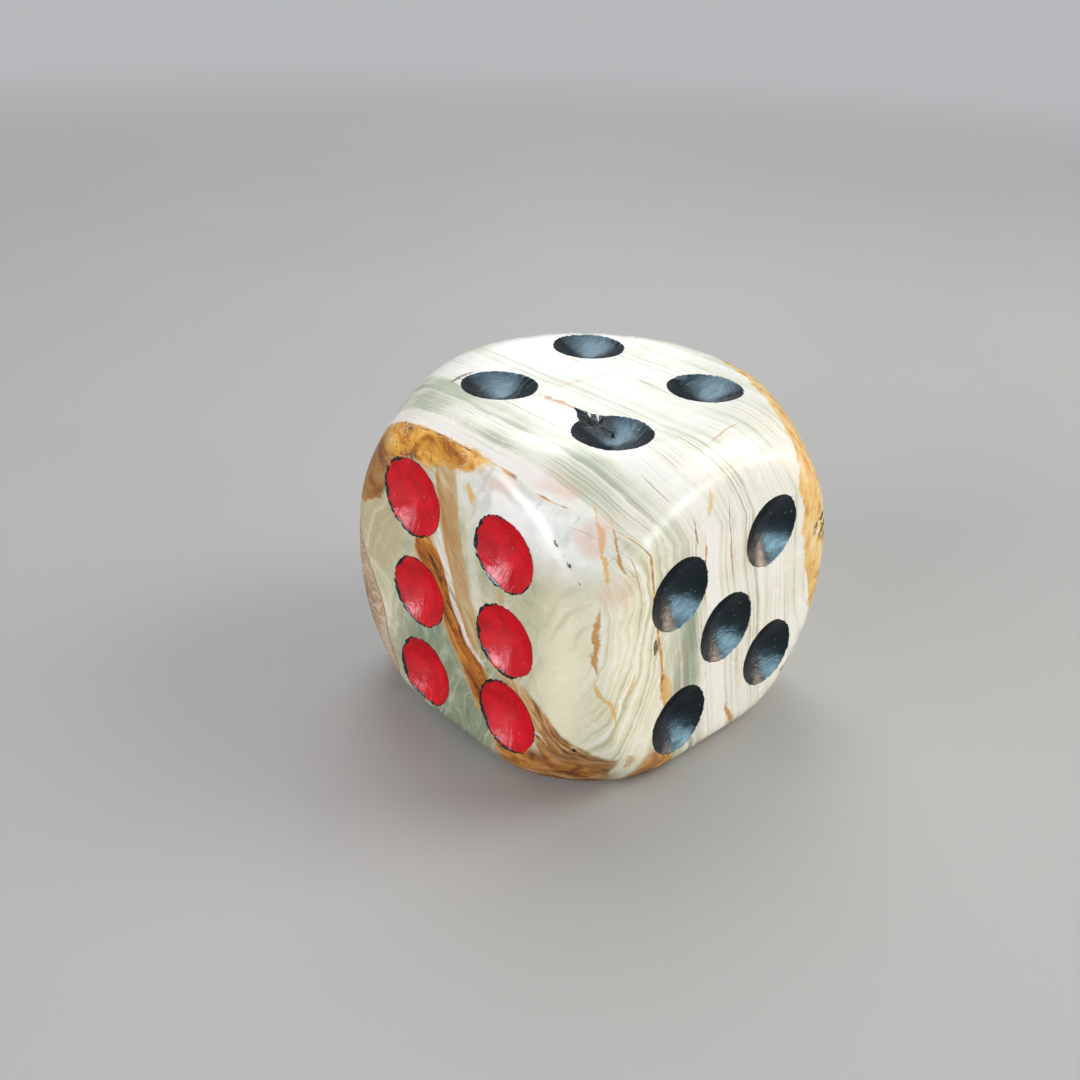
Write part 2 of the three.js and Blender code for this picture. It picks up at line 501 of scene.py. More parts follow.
class Place:
    """The millimetre coordinates that the stone's pattern is worked out from."""

    def __init__(self, g):
        coordinates = g.add("TexCoord", output="Object")
        self.point = g.vector("SCALE", coordinates, scale=1 / MM)
        self.x, self.y, self.z = g.split(self.point)
        # The same place moved about by a fraction of a millimetre, for edges that wander.
        self.near = g.shove(self.point, 5, 0.6, 3)
        self.nx, self.ny, self.nz = g.split(self.near)
        self.on_six = g.step(self.y, -22, -29)
        self.on_five = g.step(self.x, 22, 29)
        self.on_four = g.step(self.z, 22, 29)
        self.high = g.step(self.z, 6, 32)
        behind = g.step(self.y, 12, 34)
        broad = g.math("SUBTRACT", g.noise(self.point, 42, 1), 0.5)
        broad = g.math("MULTIPLY", broad, g.math("MULTIPLY_ADD", behind, 12, 4))
        drawn = g.vector("MULTIPLY", self.point, (0.7, 1, 0.45))
        close = g.math("MULTIPLY", g.math("SUBTRACT", g.noise(drawn, 9, 3), 0.5), 2.2)
        wave = g.math("ADD", broad, close)
        # The layers stand almost upright across Y, lean a little with height and bend over near the top.
        level = g.math("MULTIPLY_ADD", self.z, 0.22, self.y)
        bend = g.math("MULTIPLY", g.math("MAXIMUM", g.math("SUBTRACT", self.z, 20), 0), 0.5)
        level = g.math("ADD", level, bend)
        self.layer = g.math("ADD", level, wave)
        rise = g.math("MULTIPLY_ADD", g.step(self.x, 20, 38), -SHEET_RISE, -SHEET_DEPTH)
        self.sheet = g.math("ADD", g.math("ADD", level, rise), g.math("MULTIPLY", wave, 0.7))
        # Along and across the diagonal that the veins of the six follow.
        self.along = g.math("MULTIPLY", g.math("SUBTRACT", self.nx, self.nz), math.sqrt(0.5))
        self.across = g.math("MULTIPLY", g.math("ADD", self.nx, self.nz), math.sqrt(0.5))


def soft_gap(g, gap, half_width, soft):
    """1 where gap is well below half_width, falling to 0 at half_width. Both widths may be sockets."""
    inner = g.math("SUBTRACT", half_width, soft)
    inputs = {"Value": gap, "From Min": inner, "From Max": half_width, "To Min": 1, "To Max": 0}
    return g.add("MapRange", {"interpolation_type": "SMOOTHSTEP"}, inputs)


def vein(g, along, across, path, half_width, soft, fade=3):
    """1 on a vein whose middle goes through path's (along, across) points, with ends that taper."""
    gap = g.math("ABSOLUTE", g.math("SUBTRACT", across, g.curve(along, path)))
    start, end = path[0][0], path[-1][0]
    ends = g.math("MULTIPLY", g.step(along, start, start + fade), g.step(along, end, end - fade))
    return soft_gap(g, gap, g.math("MULTIPLY", half_width, ends), soft)


def blob(g, place, centre, radii, soft=0.5):
    """1 inside an egg-shaped patch of stone, fading to 0 over the outer soft share of its radii."""
    shrink = tuple(1 / radius for radius in radii)
    reach = g.vector("MULTIPLY", g.vector("SUBTRACT", place, centre), shrink)
    return g.step(g.vector("LENGTH", reach), 1 + soft / 2, 1 - soft / 2)


def contours(g, value, count, thickness):
    """Thin lines along the levels of a value, count of them between 0 and 1."""
    saw = g.math("FRACT", g.math("MULTIPLY", value, count))
    return g.step(g.math("ABSOLUTE", g.math("SUBTRACT", saw, 0.5)), thickness, thickness * 0.3)


def banded_colour(g, at):
    """White and green onyx in layers. Their tint depends on the depth through the layers."""
    broad = g.noise_line(at.layer, 5.2, 2, 0.6)
    medium = g.noise_line(g.math("ADD", at.layer, 13), 1.7, 3, 0.65)
    drift = g.math("MULTIPLY", g.noise(at.point, 25, 1), 1.6)
    fine = g.noise_line(g.math("ADD", at.layer, drift), 0.62, 3, 0.7)
    # How green the stone is at each depth, as a percentage less 50.
    zone = g.curve(at.layer, [
        (-50, -15), (-30, -18), (-21, -18), (-17, 12), (-11, 18), (-7, -18), (-2, -33), (4, -30),
        (8, -16), (12, -14), (16, -28), (24, -24), (32, -8), (40, -20), (50, -15),
    ])
    tint = g.math("MULTIPLY_ADD", zone, 0.01, 0.5)
    tint = g.math("MULTIPLY", tint, g.rescale(g.noise(at.point, 15, 2), 0.32, 0.68, 0.5, 1.35))
    left_band = vein(g, at.x, at.layer, [(-44, 9), (-25, 9.5), (-10, 10), (6, 10.5)], 4, 2.5, 10)
    tint = g.math("MULTIPLY_ADD", left_band, 0.06, tint)
    pale_corner = blob(g, at.point, (28, -32, 31), (20, 15, 15), 0.9)
    tint = g.math("MULTIPLY_ADD", pale_corner, -0.3, tint)
    pale_shoulder = blob(g, at.point, (-31, -10, 27), (18, 20, 16), 0.9)
    tint = g.math("MULTIPLY_ADD", pale_shoulder, -0.28, tint)
    green_fold = blob(g, at.near, (38, -12, -9), (12, 7, 19), 0.8)
    tint = g.math("MULTIPLY_ADD", green_fold, 0.2, tint)
    crisp = g.rescale(g.noise(at.point, 11, 2), 0.35, 0.65, 0.4, 1.15)
    crisp = g.math("MULTIPLY", crisp, g.math("MULTIPLY_ADD", at.high, -0.15, 1))
    swing = g.math("MULTIPLY", g.math("SUBTRACT", broad, 0.5), 1.5)
    swing = g.math("MULTIPLY_ADD", g.math("SUBTRACT", medium, 0.5), 1.5, swing)
    swing = g.math("MULTIPLY_ADD", g.math("SUBTRACT", fine, 0.5), 1.2, swing)
    tint = g.math("MULTIPLY_ADD", swing, crisp, tint)
    tint = g.math("MINIMUM", tint, g.math("MULTIPLY_ADD", at.high, -0.25, 0.95))
    colour = g.ramp(tint, [
        (0.0, (0.90, 0.89, 0.84)), (0.2, (0.86, 0.85, 0.77)), (0.38, (0.78, 0.78, 0.67)),
        (0.56, (0.62, 0.65, 0.52)), (0.75, (0.42, 0.47, 0.36)), (1.0, (0.27, 0.32, 0.24)),
    ])
    warm = g.noise_line(g.math("ADD", at.layer, 37), 1.5, 3, 0.6)
    warm = g.math("MULTIPLY", g.step(warm, 0.5, 0.62), g.step(g.noise(at.point, 18, 1), 0.4, 0.58))
    warm = g.math("MULTIPLY", warm, g.math("MULTIPLY_ADD", at.high, -0.3, 0.5))
    colour = g.mix(warm, colour, (0.80, 0.71, 0.54))
    hair = g.step(g.noise_line(g.math("ADD", at.layer, 71), 0.8, 2, 0.6), 0.64, 0.72)
    hair = g.all_of(hair, g.step(g.noise(at.near, 9, 2), 0.48, 0.6), 0.65)
    hair_colour = g.mix(at.high, (0.46, 0.30, 0.21), (0.38, 0.33, 0.31))
    return g.mix(hair, colour, hair_colour)


def massive_colour(g, at):
    """The thicker, clearer stone under the six, in soft patches with faint layers in them, and a painted
    sheen over its upper right.
    """
    soft = g.shove(at.point, 14, 4, 3)
    soft_x, _, soft_z = g.split(soft)
    cloud = g.noise(at.point, 9, 4, 0.62, 1.2)
    colour = g.ramp(cloud, [
        (0.3, (0.36, 0.40, 0.27)), (0.43, (0.50, 0.51, 0.34)), (0.55, OLIVE), (0.72, (0.74, 0.72, 0.54))])
    green = blob(g, soft, (-1, -38, -22), (19, 14, 15), 0.6)
    swirl = g.noise(g.vector("MULTIPLY", soft, (1, 1, 0.5)), 7, 4, 0.65, 2.0)
    deep = g.ramp(swirl, [
        (0.3, (0.15, 0.20, 0.13)), (0.52, (0.25, 0.31, 0.20)), (0.72, (0.46, 0.51, 0.38))])
    colour = g.mix(g.math("MULTIPLY", green, 0.95), colour, deep)
    pale_left = blob(g, soft, (-27, -36, 4), (9, 14, 11), 0.6)
    colour = g.mix(g.math("MULTIPLY", pale_left, 0.8), colour, (0.49, 0.42, 0.24))
    right = blob(g, soft, (38, -34, -8), (13, 20, 28), 0.9)
    colour = g.mix(g.math("MULTIPLY", right, 0.85), colour, (0.84, 0.82, 0.60))
    # Painted sheen: a near-white veil over the upper right of the six stands in for soft light reflected from
    # the stone there.
    painted_sheen = blob(g, soft, (20, -34, 29), (22, 14, 13), 0.8)
    sheen_tone = g.ramp(g.noise(at.near, 7, 4, 0.6, 0.8), [
        (0.34, (0.66, 0.70, 0.64)), (0.48, (0.84, 0.86, 0.83)), (0.62, (0.93, 0.94, 0.92))])
    colour = g.mix(g.math("MULTIPLY", painted_sheen, 0.95), colour, sheen_tone)
    # Faint layers run through it, bent round the patches.
    depth = g.math("MULTIPLY_ADD", soft_z, -0.5, soft_x)
    depth = g.math("MULTIPLY_ADD", g.noise(at.point, 16, 2), 8, depth)
    ghost = g.noise_line(depth, 2.2, 3, 0.65)
    where = g.rescale(g.noise(at.point, 12, 2), 0.42, 0.62, 0.0, 0.34)
    colour = g.mix(g.math("MULTIPLY", g.step(ghost, 0.5, 0.66), where), colour, (0.84, 0.83, 0.70))
    colour = g.mix(g.math("MULTIPLY", g.step(ghost, 0.46, 0.34), where), colour, (0.38, 0.36, 0.23))
    # The stone between the right column of pips and the tan vein is paler.
    pale = vein(g, at.along, at.across, [(-16, 22), (-10, 16), (-4, 11), (2, 7), (7, 5)], 2.4, 1.6)
    return g.mix(g.all_of(pale, at.on_six, 0.6), colour, (0.72, 0.71, 0.60))


def arcs_on_corner(g, at, colour):
    """The nest of pale arcs at the corner between the six and the five, open at the top."""
    away = g.vector("MULTIPLY", g.vector("SUBTRACT", at.near, (37, -41, 6)), (0.034, 0.075, 0.042))
    ring = g.vector("LENGTH", away)
    ring = g.math("MULTIPLY_ADD", g.noise(at.point, 11, 3), 0.55, ring)
    stripe = g.math("MULTIPLY_ADD", g.noise(at.point, 7, 2), 0.35, g.noise_line(ring, 0.11, 3, 0.65))
    arcs = g.ramp(stripe, [
        (0.46, (0.52, 0.51, 0.34)), (0.6, (0.76, 0.72, 0.50)), (0.7, (0.87, 0.83, 0.65)),
        (0.82, (0.94, 0.93, 0.87)),
    ])
    where = blob(g, at.near, (40, -25, -6), (10, 12, 33), 0.7)
    return g.mix(g.math("MULTIPLY", where, 0.8), colour, arcs)


def tan_strip(g, at, colour):
    """The pinkish tan stone down the left side of the six, with the rust hairline that bounds it."""
    border = [(-40, -20), (-31, -20), (-27, -20.5), (-22, -23), (-15, -25), (-8, -28.5), (0, -33), (6, -37)]
    inside = g.step(g.math("SUBTRACT", at.nx, g.curve(at.nz, border)), 0.3, -0.6)
    inside = g.all_of(inside, at.on_six, g.step(at.nz, 7, 3))
    cloud = g.noise(g.vector("MULTIPLY", at.near, (1, 1, 0.6)), 9, 3, 0.6, 1.5)
    tone = g.ramp(cloud, [(0.3, (0.30, 0.19, 0.11)), (0.5, (0.42, 0.28, 0.17)), (0.7, (0.54, 0.41, 0.28))])
    away = g.vector("MULTIPLY", g.vector("SUBTRACT", at.near, (-29, -36, -31)), (1, 0.6, 0.8))
    nest = g.math("MULTIPLY_ADD", g.noise(at.point, 6, 4, 0.7), 9, g.vector("LENGTH", away))
    rings = g.step(g.noise_line(nest, 1.1, 2), 0.5, 0.6)
    tone = g.mix(g.math("MULTIPLY", rings, 0.55), tone, (0.74, 0.62, 0.50))
    tone = g.mix(g.math("MULTIPLY", contours(g, cloud, 22, 0.12), 0.4), tone, (0.34, 0.22, 0.15))
    colour = g.mix(g.math("MULTIPLY", inside, 0.9), colour, tone)
    line = g.math("MULTIPLY", vein(g, at.nz, at.nx, border, 0.35, 0.25), at.on_six)
    return g.mix(g.math("MULTIPLY", line, 0.85), colour, (0.26, 0.11, 0.06))


def ochre_mottle(g, at):
    """Ochre and rust stone, streaked along its layers, with pale wandering lines in it."""
    drawn = g.vector("MULTIPLY", at.near, (0.45, 0.8, 1))
    mottle = g.noise(drawn, 5.5, 5, 0.66, 0.6)
    colour = g.ramp(mottle, [
        (0.3, (0.15, 0.045, 0.01)), (0.4, (0.38, 0.14, 0.02)), (0.48, (0.66, 0.31, 0.045)),
        (0.57, (0.86, 0.50, 0.11)), (0.7, (0.90, 0.66, 0.30)),
    ])
    lines = g.math("MULTIPLY", contours(g, mottle, 14, 0.16), g.step(g.noise(at.point, 7, 1), 0.5, 0.6))
    colour = g.mix(g.math("MULTIPLY", lines, 0.75), colour, (0.88, 0.72, 0.48))
    crumbs = g.step(g.noise(at.near, 1.4, 3, 0.7), 0.6, 0.68)
    return g.mix(g.math("MULTIPLY", crumbs, 0.6), colour, DARK_BROWN)


def ochre_patch(g, at, colour):
    """The ochre patch over the top left of the six, with painted shade that darkens it round its corner pip.
    """
    floor = g.curve(at.nx, [
        (-50, 0), (-38, 6), (-30, 9.5), (-24, 13), (-18, 23), (-10, 25), (-3, 26.5), (3, 28.5),
        (8, 30.5), (14, 36), (50, 45),
    ])
    ragged = g.math("MULTIPLY", g.math("SUBTRACT", g.noise(at.point, 3.5, 4, 0.65), 0.5), 6)
    above = g.math("ADD", g.math("SUBTRACT", at.nz, floor), ragged)
    top = g.math("ADD", at.sheet, g.math("MULTIPLY", ragged, 0.8))
    patch = g.all_of(g.step(above, -0.8, 0.8), g.step(top, 0.6, -0.6), g.step(at.y, -18, -26))
    colour = g.mix(patch, colour, ochre_mottle(g, at))
    # Painted shade: the patch is darkened to dark brown beside its corner pip.
    painted_shade = blob(g, at.near, (-27, -35, 15), (9, 12, 10), 0.9)
    return g.mix(g.all_of(painted_shade, patch, 0.7), colour, (0.16, 0.055, 0.02))


def veins_of_six(g, at, colour):
    """Two long veins wander down the six from the ochre patch, with a pale streak between them."""
    drawn = g.add("CombineXYZ", None, {
        0: g.math("MULTIPLY", at.along, 0.26), 1: at.across, 2: g.math("MULTIPLY", at.y, 0.2)})
    thread = g.noise(drawn, 2.1, 6, 0.66, 0.9)
    broad_thread = g.noise(drawn, 4, 2, 0.5)
    ragged = g.math("MULTIPLY", g.math("SUBTRACT", g.noise(at.point, 4, 3), 0.5), 2.4)

    tan_path = [
        (-24, 18), (-19, 14.6), (-11.3, 9.2), (-5.3, 5.6), (-0.3, 3.6), (4.6, 1.8), (9.2, 0.7),
        (13.1, 0.4), (20.5, 3.5), (26.5, 5.3), (33.9, 5.7), (39.6, 4.2), (47, 1),
    ]
    tan_width = g.curve(at.along, [
        (-50, 5.2), (-20, 4.8), (-9, 3.9), (3, 2.5), (12, 2.0), (20, 2.6), (30, 4.0), (40, 6), (50, 7)])
    tan_width = g.math("ADD", tan_width, g.math("MULTIPLY", ragged, 0.4))
    tan = g.ramp(g.math("ADD", g.math("MULTIPLY", thread, 0.6), g.math("MULTIPLY", broad_thread, 0.4)), [
        (0.34, (0.34, 0.17, 0.05)), (0.43, (0.46, 0.28, 0.11)), (0.51, (0.52, 0.36, 0.17)),
        (0.58, (0.57, 0.43, 0.24)), (0.67, (0.70, 0.58, 0.39))])
    foot = g.ramp(thread, [
        (0.38, DARK_BROWN), (0.45, (0.24, 0.08, 0.018)), (0.52, (0.44, 0.20, 0.045)),
        (0.6, (0.62, 0.42, 0.20))])
    tan = g.mix(g.math("MULTIPLY", g.step(at.along, 16, 30), 0.8), tan, foot)
    below_patch = g.step(g.math("ADD", at.nz, ragged), 29, 24.5)
    tan_mask = g.all_of(vein(g, at.along, at.across, tan_path, tan_width, 1.2), at.on_six, below_patch)
    colour = g.mix(tan_mask, colour, tan)
    tan_edge = [(along, across - 2.8) for along, across in tan_path[:8]]
    tan_edge = vein(g, at.along, at.across, tan_edge, 1.0, 0.9)
    colour = g.mix(g.all_of(tan_edge, at.on_six, 0.7), colour, (0.50, 0.24, 0.05))

    rust_path = [
        (-16, -0.5), (-13.4, -2.1), (-5.7, -2.8), (1.4, -4.2), (7.1, -5.7), (13.4, -6.4), (19.8, -7.1),
        (35.4, -7.1), (47, -4)]
    rust_width = g.math("ADD", 4.1, g.math("MULTIPLY", ragged, 0.7))
    rust = g.ramp(thread, [
        (0.35, DARK_BROWN), (0.42, (0.24, 0.07, 0.012)), (0.50, (0.38, 0.12, 0.016)),
        (0.58, (0.50, 0.18, 0.02)), (0.68, (0.68, 0.36, 0.07))])
    golden = vein(g, at.along, at.across, rust_path, g.math("ADD", rust_width, 0.8), 0.8)
    colour = g.mix(g.all_of(golden, at.on_six, 0.5), colour, (0.64, 0.37, 0.11))
    rust_mask = g.math("MULTIPLY", vein(g, at.along, at.across, rust_path, rust_width, 1.2), at.on_six)
    colour = g.mix(rust_mask, colour, rust)
    crack = g.step(g.noise(g.vector("MULTIPLY", drawn, (1.6, 1, 1)), 1.1, 2, 0.6), 0.62, 0.66)
    colour = g.mix(g.all_of(crack, rust_mask, 0.8), colour, DARK_BROWN)

    pale_path = [(-24, 12.5), (-19, 9.2), (-12.7, 4.2), (-5.7, 1.4), (2.1, -2.1), (9.2, -3.5), (17, -2)]
    pale_width = g.curve(at.along, [(-50, 1.8), (-14, 1.7), (0, 1.3), (10, 0.9), (50, 0.6)])
    pale = g.math("MULTIPLY", vein(g, at.along, at.across, pale_path, pale_width, 0.5), at.on_six)
    streak = g.ramp(thread, [
        (0.38, (0.46, 0.38, 0.27)), (0.47, (0.66, 0.62, 0.52)), (0.6, (0.84, 0.82, 0.75))])
    return g.mix(g.math("MULTIPLY", pale, 0.95), colour, streak)


def brown_foot(g, at, colour):
    """The dark brown stone along the bottom edge between the six and the five."""
    drawn = g.vector("MULTIPLY", at.near, (0.4, 0.4, 1))
    tone = g.ramp(g.noise(drawn, 2.6, 4, 0.65, 0.5), [
        (0.32, DARK_BROWN), (0.44, RUST), (0.56, OCHRE), (0.7, (0.66, 0.50, 0.30))])
    where = blob(g, at.near, (27, -36, -33), (14, 12, 9), 0.5)
    where = g.math("MAXIMUM", where, blob(g, at.near, (37, -17, -35), (6, 6, 8), 0.5))
    return g.mix(g.math("MULTIPLY", where, 0.95), colour, tone)


def sheet_line(g, at, colour):
    """The parting sheet shows as an orange line down the five, and as broken threads along the six."""
    strong = g.step(at.x, 30, 36)
    wide = g.rescale(g.noise(at.point, 8, 2), 0.38, 0.66, 0.3, 0.95)
    wide = g.math("MULTIPLY", wide, g.math("MULTIPLY_ADD", g.step(at.z, 2, -14), 0.9, 0.55))
    line = soft_gap(g, g.math("ABSOLUTE", at.sheet), wide, g.math("MULTIPLY", wide, 0.5))
    whole = g.math("MAXIMUM", strong, g.step(at.x, 8, 2))
    line = g.math("MULTIPLY", line, g.math("MAXIMUM", whole, g.step(g.noise(at.point, 5, 2), 0.5, 0.62)))
    tone = g.ramp(g.noise(at.near, 2, 3), [(0.35, RUST), (0.5, OCHRE), (0.65, LIGHT_OCHRE)])
    colour = g.mix(g.math("MULTIPLY", line, 0.9), colour, tone)
    behind = g.math("ABSOLUTE", g.math("ADD", at.sheet, 3.4))
    thread = soft_gap(g, behind, g.math("MULTIPLY", wide, 0.55), 0.25)
    thread = g.all_of(thread, g.step(at.x, 22, 30), g.step(at.z, 10, 16))
    return g.mix(g.math("MULTIPLY", thread, 0.75), colour, tone)


def ochre_sheet(g, at, colour):
    """The speckled ochre sheet that comes out down the far right edge."""
    offset = g.math("SUBTRACT", g.vector("DOT_PRODUCT", at.near, (0.418, 0.870, 0.261)), 42.8)
    offset = g.math("MULTIPLY_ADD", g.math("SUBTRACT", g.noise(at.point, 8, 4, 0.65), 0.5), 5, offset)
    band = g.math("MULTIPLY", g.step(g.math("ABSOLUTE", offset), 3.8, 3.0), g.step(at.nz, -27, -17))
    mottle = g.noise(g.vector("MULTIPLY", at.near, (1, 1, 0.45)), 2.6, 5, 0.7)
    tone = g.ramp(mottle, [(0.32, OCHRE), (0.44, LIGHT_OCHRE), (0.58, (0.86, 0.64, 0.30)), (0.72, CREAM)])
    crumbs = g.step(g.noise(at.near, 0.9, 2), 0.66, 0.7)
    crumbs = g.all_of(crumbs, g.step(g.noise(at.point, 7, 1), 0.5, 0.6), 0.8)
    tone = g.mix(crumbs, tone, DARK_BROWN)
    return g.mix(band, colour, tone)


def hairlines(g, at, colour):
    """Thin marks one by one: the face, the two coordinates, the path, the half width and the colour."""
    x, y, z = at.nx, at.ny, at.nz
    four, five, six = at.on_four, at.on_five, at.on_six
    marks = [
        (four, x, y, [(-6, -14.2), (0, -14), (9, -13.9)], 1.0, (0.54, 0.27, 0.09)),
        (four, y, x, [(-13, -3.6), (-4, -3.4), (0, -3), (9, -0.8)], 0.4, (0.68, 0.45, 0.24)),
        (four, y, x, [(-7, 33.4), (0, 32), (11, 30)], 0.25, (0.66, 0.46, 0.30)),
        (four, y, x, [(-26, -18.4), (-21, -19.6), (-15, -20.4)], 0.9, (0.20, 0.14, 0.10)),
        (four, x, y, [(2, 6.6), (6, 7.3), (10, 8)], 0.35, (0.42, 0.33, 0.28)),
        (four, x, y, [(-15, 5), (-12, 5.4), (-10, 5.2)], 0.8, PINK),
        (five, z, y, [(16, -10), (20, -11.2), (26, -13.4)], 0.3, RUST),
        (five, z, y, [(-1, -4.8), (5, -6.6), (10, -7.3), (17, -8.3), (23, -9.4)], 0.5, OCHRE),
        (five, z, y, [(1, 2.4), (5, 1.8), (10, 0.8), (18, -1), (31, -4)], 0.22, (0.42, 0.20, 0.13)),
        (five, z, y, [(-36, 9), (-32, 7.8), (-28, 5.5), (-24, 4.2)], 0.9, OCHRE),
        (five, z, y, [(-4, -20.2), (-1, -20), (2, -20.2)], 0.7, DARK_BROWN),
        (five, z, y, [(-18, -15.4), (-15, -15), (-8, -17)], 1.7, LIGHT_OCHRE),
        (five, z, y, [(22, -8.4), (26, -8.2), (30, -8.8)], 1.0, (0.80, 0.60, 0.30)),
        (five, z, y, [(-4, -34.7), (1, -34.9), (6, -35), (10, -34.3), (14, -33.4)], 0.85, OCHRE),
        (five, z, y, [(-19, -30), (-14, -29.8), (-10, -31.4), (-5, -34.6), (0, -35.4)], 0.6, LIGHT_OCHRE),
        (five, z, y, [(-12, -29), (-8, -26.5), (-3, -25.2)], 0.55, LIGHT_OCHRE),
        (five, z, y, [(-29, -26), (-26.5, -24), (-24, -27)], 1.6, (0.62, 0.42, 0.24)),
        (six, z, x, [(12, 37), (18, 34.4), (24, 31.2), (31, 26)], 0.5, LIGHT_OCHRE),
        (six, z, x, [(15, 38), (21, 35), (28, 30)], 0.35, OCHRE),
        (six, z, x, [(20.5, 5.6), (23.5, 4.6), (27, 3.4)], 1.5, (0.74, 0.46, 0.12)),
        (six, z, x, [(3, 13.2), (5.5, 13.6), (8, 13)], 1.8, (0.50, 0.40, 0.20)),
        (six, x, z, [(20, -16), (23, -19.5), (27, -20.8), (28.6, -23), (29.4, -28)], 0.6, (0.64, 0.58, 0.50)),
        (five, z, y, [(-29, 23), (-26, 26), (-23, 29)], 2.2, (0.50, 0.30, 0.18)),
    ]
    ragged = g.noise(at.point, 2.2, 3, 0.7)
    for face, along, across, path, half_width, tone in marks:
        width = g.math("MULTIPLY", g.rescale(ragged, 0.3, 0.7, 0.35, 1.5), half_width)
        taper = 0.4 * (path[-1][0] - path[0][0])
        mask = vein(g, along, across, path, width, half_width * 0.5, taper)
        colour = g.mix(g.all_of(mask, face, 0.85), colour, tone)
    return colour


def specks(g, at, colour):
    """Black dashes, crumbs and one mark, then pink blushes along the upper and right edges of the six."""
    dash_path = [(12, 35), (18, 30), (21, 27.5), (25, 23)]
    dash_width = g.rescale(g.noise(at.point, 2, 2), 0.35, 0.65, 0.05, 0.34)
    dash = vein(g, at.nz, at.nx, dash_path, dash_width, 0.12, 2)
    dash = g.all_of(dash, at.on_six, g.step(g.noise(at.near, 1.6, 2), 0.5, 0.56))
    cluster = blob(g, at.near, (37, 33, 8), (6, 5, 3.5), 0.5)
    cluster = g.math("MULTIPLY", cluster, g.step(g.noise(at.near, 1.7, 3, 0.6), 0.5, 0.55))
    mark = blob(g, at.near, (33, -37, -21), (0.35, 4, 0.7), 0.4)
    black = g.math("MAXIMUM", g.math("MAXIMUM", dash, cluster), mark)
    colour = g.mix(g.math("MULTIPLY", black, 0.9), colour, SPECK_BLACK)
    ragged = g.shove(at.point, 4, 2.2, 3)
    blushes = [
        ((35, -30, 14), (3.5, 4, 3)), ((12, -35, 28.5), (4, 4, 1.6)),
        ((24, -34, 31), (5, 4, 1.4)), ((31, -32, 24), (2.4, 4, 4)),
    ]
    for centre, radii in blushes:
        blush = blob(g, ragged, centre, radii, 1)
        colour = g.mix(g.math("MULTIPLY", blush, 0.45), colour, (0.78, 0.48, 0.36))
    return colour


def hidden_veins(g, at, colour):
    """Ochre and rust veins of the same kind over the back, the left side and the underside."""
    hidden = g.math("MAXIMUM", g.step(at.x, -33, -38), g.step(at.y, 30, 37))
    hidden = g.math("MAXIMUM", hidden, g.step(at.z, -31, -36))
    fold = g.noise(g.vector("MULTIPLY", at.near, (1, 1, 0.6)), 46, 2, 0.45)
    gap = g.math("ABSOLUTE", g.math("SUBTRACT", fold, 0.56))
    wide = g.rescale(g.noise(at.point, 12, 2), 0.35, 0.65, 0.002, 0.03)
    sheet = soft_gap(g, gap, wide, g.math("MULTIPLY", wide, 0.4))
    where = g.all_of(sheet, hidden, g.math("SUBTRACT", 1, at.on_six), 0.95)
    return g.mix(where, colour, ochre_mottle(g, at))


def stone_material():
    g = Graph(bpy.data.materials.new("polished_onyx"))
    at = Place(g)
    colour = banded_colour(g, at)
    colour = g.mix(g.step(at.sheet, 0.2, -1.2), colour, massive_colour(g, at))
    for layer in (hidden_veins, arcs_on_corner, tan_strip, ochre_patch, veins_of_six, brown_foot,
                  sheet_line, ochre_sheet, hairlines, specks):
        colour = layer(g, at, colour)
    surface = g.surface.inputs
    g.feed(surface["Base Color"], colour)
    g.feed(surface["Roughness"], g.rescale(g.noise(at.point, 5, 3), 0.3, 0.7, 0.18, 0.32))
    surface["Subsurface Weight"].default_value = 0.15
    surface["Subsurface Radius"].default_value = (1.0, 0.9, 0.6)
    surface["Subsurface Scale"].default_value = 1.5 * MM
    surface["IOR"].default_value = 1.55
    grain = g.noise(at.point, 0.8, 3, 0.6)
    bump = g.add("Bump", None, {"Strength": 0.06, "Distance": 0.1 * MM, "Height": grain})
    g.feed(surface["Normal"], bump)
    return g.owner


# ---------------------------------------------------------------- enamel

def enamel_material(name, deep, worn, shine, gloss, dust_share):
    """Brushed gloss paint with its brush marks, dust and a tint that wanders from deep to worn."""
    g = Graph(bpy.data.materials.new(name))
    point = g.vector("SCALE", g.add("TexCoord", output="Object"), scale=1 / MM)
    colour = g.mix(g.rescale(g.noise(point, 3.5, 2), 0.35, 0.7, 0, 1), deep, worn)
    dust = g.step(g.noise(point, 0.6, 0), 0.80, 0.83)
    colour = g.mix(g.math("MULTIPLY", dust, dust_share), colour, (0.50, 0.47, 0.42))
    # Round the crack the paint is duller, with brown glints where it is thin on the broken stone.
    crack = blob(g, point, (11.5, -14.2, 35.5), (7, 3.4, 4), 0.4)
    glint = g.math("MULTIPLY", crack, g.step(g.noise(point, 0.45, 3, 0.75), 0.54, 0.62))
    colour = g.mix(g.math("MULTIPLY", glint, 0.7), colour, (0.20, 0.12, 0.06))
    surface = g.surface.inputs
    g.feed(surface["Base Color"], colour)
    smooth = g.rescale(g.noise(point, 2, 3), 0.3, 0.7, 0.10, 0.24)
    g.feed(surface["Roughness"], g.math("MULTIPLY_ADD", crack, 0.25, smooth))
    surface["IOR"].default_value = 1.6
    g.feed(surface["Specular IOR Level"], g.math("MULTIPLY_ADD", crack, -0.45 * gloss, gloss))
    surface["Specular Tint"].default_value = (*shine, 1)
    brush = g.noise(g.vector("MULTIPLY", point, (1, 0.35, 0.5)), 1.3, 5, 0.7, 1.2)
    bump = g.add("Bump", None, {"Strength": 0.7, "Distance": 0.16 * MM, "Height": brush})
    g.feed(surface["Normal"], bump)
    return g.owner


# ---------------------------------------------------------------- assembly

def finish_piece(piece, material, slot, *nodes):
    piece.data.materials.clear()
    piece.data.materials.append(material)
    piece.data.shade_smooth()
    piece.data.set_sharp_from_angle(angle=SMOOTH_BELOW)
    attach(piece, "root")
    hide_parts(*nodes)


